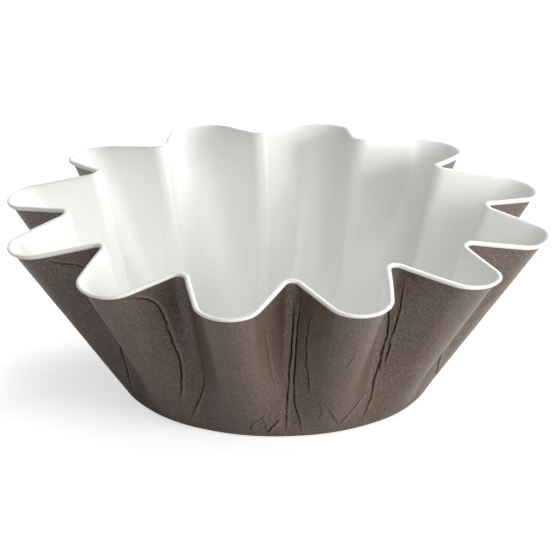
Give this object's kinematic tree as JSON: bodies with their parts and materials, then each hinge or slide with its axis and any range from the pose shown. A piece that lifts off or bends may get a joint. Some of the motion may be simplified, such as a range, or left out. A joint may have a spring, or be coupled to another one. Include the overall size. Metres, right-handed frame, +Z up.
{
  "type": "cupcake liner",
  "caption": "Free-standing fluted baking cup of brown paper with a white lining, a flat round base and a wavy rim with an out-turned lip.",
  "frame": {"origin": "centre of the base, on the surface that the cup stands on", "axes": "+Z up out of the cup along its axis, +X through the crest of one flute"},
  "size_m": [0.1098, 0.1098, 0.037],
  "materials": {
    "brown_paper": "satin",
    "white_lining": "glossy film on paper"
  },
  "bodies": {
    "root": {"fluted_cup": "brown_paper"}
  },
  "joints": []
}
